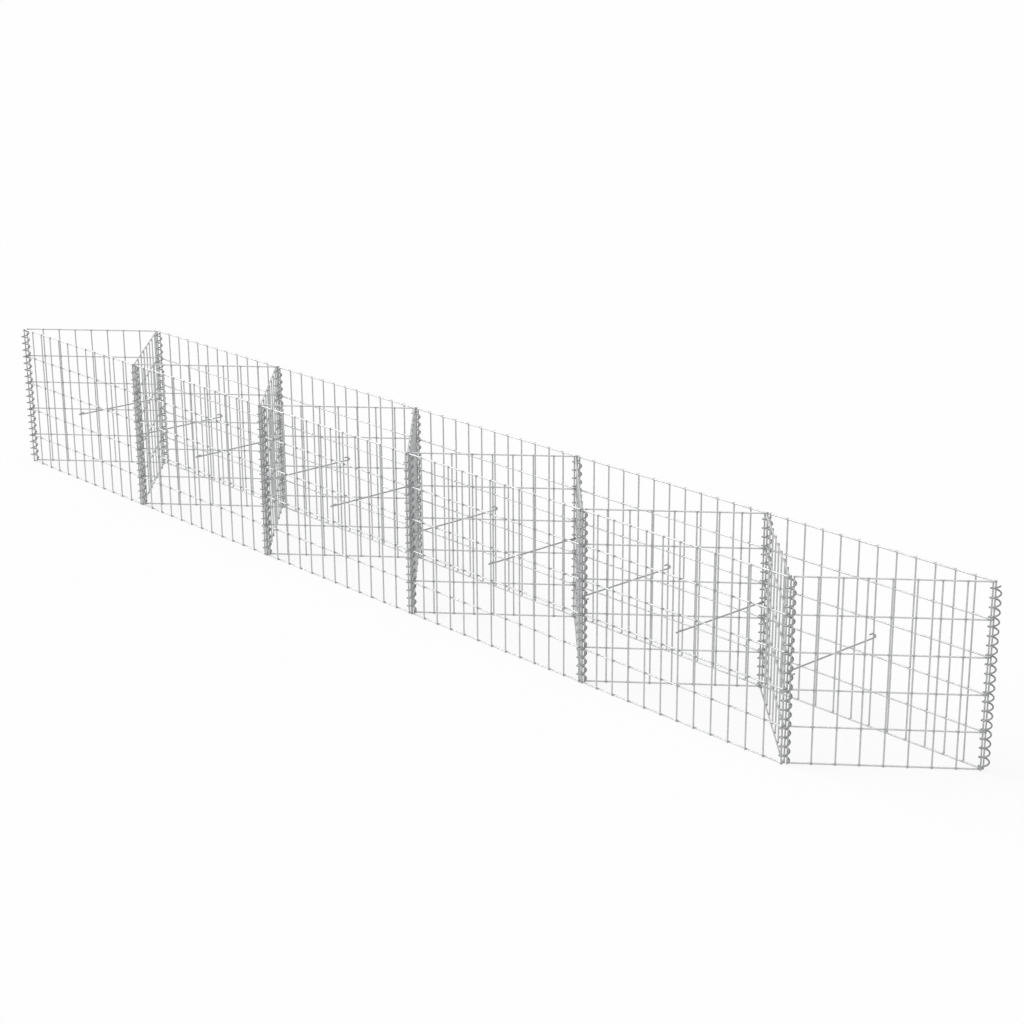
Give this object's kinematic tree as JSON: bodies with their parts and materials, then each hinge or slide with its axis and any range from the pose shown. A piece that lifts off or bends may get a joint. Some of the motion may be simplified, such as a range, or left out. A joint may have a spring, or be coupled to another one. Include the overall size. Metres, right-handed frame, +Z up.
{
  "type": "empty gabion wall",
  "caption": "Empty gabion wall of welded wire mesh: front and rear panels tied by zigzag cross panels, spiral binders and hooked brace wires, open on top for stone fill.",
  "frame": {"origin": "middle of the wall's plan, on the floor", "axes": "+X along the wall, +Y from the front panels to the rear panels, +Z up"},
  "size_m": [4.0438, 0.3678, 0.5045],
  "materials": {
    "mesh_wire": "hot-dip galvanised welded wire",
    "spiral_wire": "galvanised spiral wire",
    "brace_wire": "galvanised wire bent to hooks"
  },
  "bodies": {
    "root": {"front_panel_1": "mesh_wire", "front_panel_2": "mesh_wire", "front_panel_3": "mesh_wire", "front_panel_4": "mesh_wire", "front_panel_5": "mesh_wire", "rear_panel_1": "mesh_wire", "rear_panel_2": "mesh_wire", "rear_panel_3": "mesh_wire", "rear_panel_4": "mesh_wire", "rear_panel_5": "mesh_wire", "cross_panel_1": "mesh_wire", "cross_panel_2": "mesh_wire", "cross_panel_3": "mesh_wire", "cross_panel_4": "mesh_wire", "cross_panel_5": "mesh_wire", "cross_panel_6": "mesh_wire", "cross_panel_7": "mesh_wire", "cross_panel_8": "mesh_wire", "cross_panel_9": "mesh_wire", "cross_panel_10": "mesh_wire", "cross_panel_11": "mesh_wire", "front_spiral_1": "spiral_wire", "front_spiral_2": "spiral_wire", "front_spiral_3": "spiral_wire", "front_spiral_4": "spiral_wire", "front_spiral_5": "spiral_wire", "front_spiral_6": "spiral_wire", "rear_spiral_1": "spiral_wire", "rear_spiral_2": "spiral_wire", "rear_spiral_3": "spiral_wire", "rear_spiral_4": "spiral_wire", "rear_spiral_5": "spiral_wire", "rear_spiral_6": "spiral_wire", "brace_1": "brace_wire", "brace_2": "brace_wire", "brace_3": "brace_wire", "brace_4": "brace_wire", "brace_5": "brace_wire", "brace_6": "brace_wire", "brace_7": "brace_wire", "brace_8": "brace_wire", "brace_9": "brace_wire", "brace_10": "brace_wire"}
  },
  "joints": []
}
